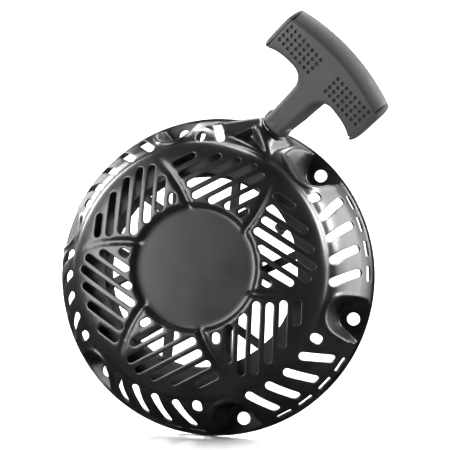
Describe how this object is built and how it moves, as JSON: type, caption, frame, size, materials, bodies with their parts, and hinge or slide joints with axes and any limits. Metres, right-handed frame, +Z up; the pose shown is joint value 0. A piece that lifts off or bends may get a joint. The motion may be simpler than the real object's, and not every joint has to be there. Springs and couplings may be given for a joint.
{
  "type": "recoil starter",
  "caption": "Round stamped-steel recoil starter for a small engine, with swept ribs and slots, a rope reel with pawls inside and a T-handle at the rope outlet.",
  "frame": {"origin": "on the crank axis, in the mounting plane on the backs of the six bolt pads", "axes": "+Y into the engine along the crank axis, so the slotted front faces -Y; +Z is up and +X to the right as the front is looked at, with the handle at the upper right"},
  "size_m": [0.2002, 0.0793, 0.242],
  "materials": {
    "black_paint": "satin black baked paint on stamped steel",
    "grey_plastic": "fine-grained dark grey moulding",
    "reel_plastic": "black glass-filled moulding",
    "rope_fibre": "braided dark rope",
    "bare_steel": "zinc-plated",
    "spring_steel": "oiled spring steel",
    "bush_plastic": "natural nylon"
  },
  "bodies": {
    "housing": {"housing": "black_paint", "centre_post": "bare_steel", "recoil_spring": "spring_steel", "bolt_washer": "bare_steel", "centre_bolt": "bare_steel", "rope_lead": "rope_fibre", "rope_eyelet": "black_paint"},
    "reel": {"reel": "reel_plastic", "reel_bush": "bush_plastic", "spring_cover": "bare_steel", "rope_coil": "rope_fibre", "reel_knot": "rope_fibre", "pawl_pin_1": "bare_steel", "pawl_pin_2": "bare_steel", "pawl_spring_1": "spring_steel", "pawl_spring_2": "spring_steel"},
    "cam_plate": {"cam_plate": "bare_steel", "friction_spring": "spring_steel"},
    "pawl_1": {"pawl_1": "bare_steel"},
    "pawl_2": {"pawl_2": "bare_steel"},
    "handle": {"handle_body": "grey_plastic", "handle_end_cap_left": "grey_plastic", "handle_end_cap_right": "grey_plastic", "knot_cover": "grey_plastic", "knot_washer": "bare_steel", "rope_knot": "rope_fibre", "rope_pull": "rope_fibre"}
  },
  "joints": [
    {"name": "handle_pull", "type": "slide", "parent": "housing", "child": "handle", "axis": [0.6912, -0.4226, 0.5862], "range_m": [0, 0.8], "stiffness_N_per_m": 12, "springref_m": -0.5},
    {"name": "reel_spin", "type": "hinge", "parent": "housing", "child": "reel", "pos_m": [0, -0.042, 0], "axis": [0, 1, 0], "range_deg": [0, 734]},
    {"name": "cam_turn", "type": "hinge", "parent": "reel", "child": "cam_plate", "pos_m": [0, -0.029, 0], "axis": [0, -1, 0], "range_deg": [0, 28], "stiffness_Nm_per_rad": 0.02, "springref_deg": -17.19},
    {"name": "pawl_1_swing", "type": "hinge", "parent": "reel", "child": "pawl_1", "pos_m": [0.024, -0.0335, 0], "axis": [0, 1, 0], "range_deg": [0, 20]},
    {"name": "pawl_2_swing", "type": "hinge", "parent": "reel", "child": "pawl_2", "pos_m": [-0.024, -0.0335, 0], "axis": [0, 1, 0], "range_deg": [0, 20]}
  ],
  "couplings": [
    {"joint": "reel_spin", "follows": "handle_pull", "rad_per_m": 16},
    {"joint": "pawl_1_swing", "follows": "cam_turn", "ratio": 0.714},
    {"joint": "pawl_2_swing", "follows": "cam_turn", "ratio": 0.714}
  ]
}
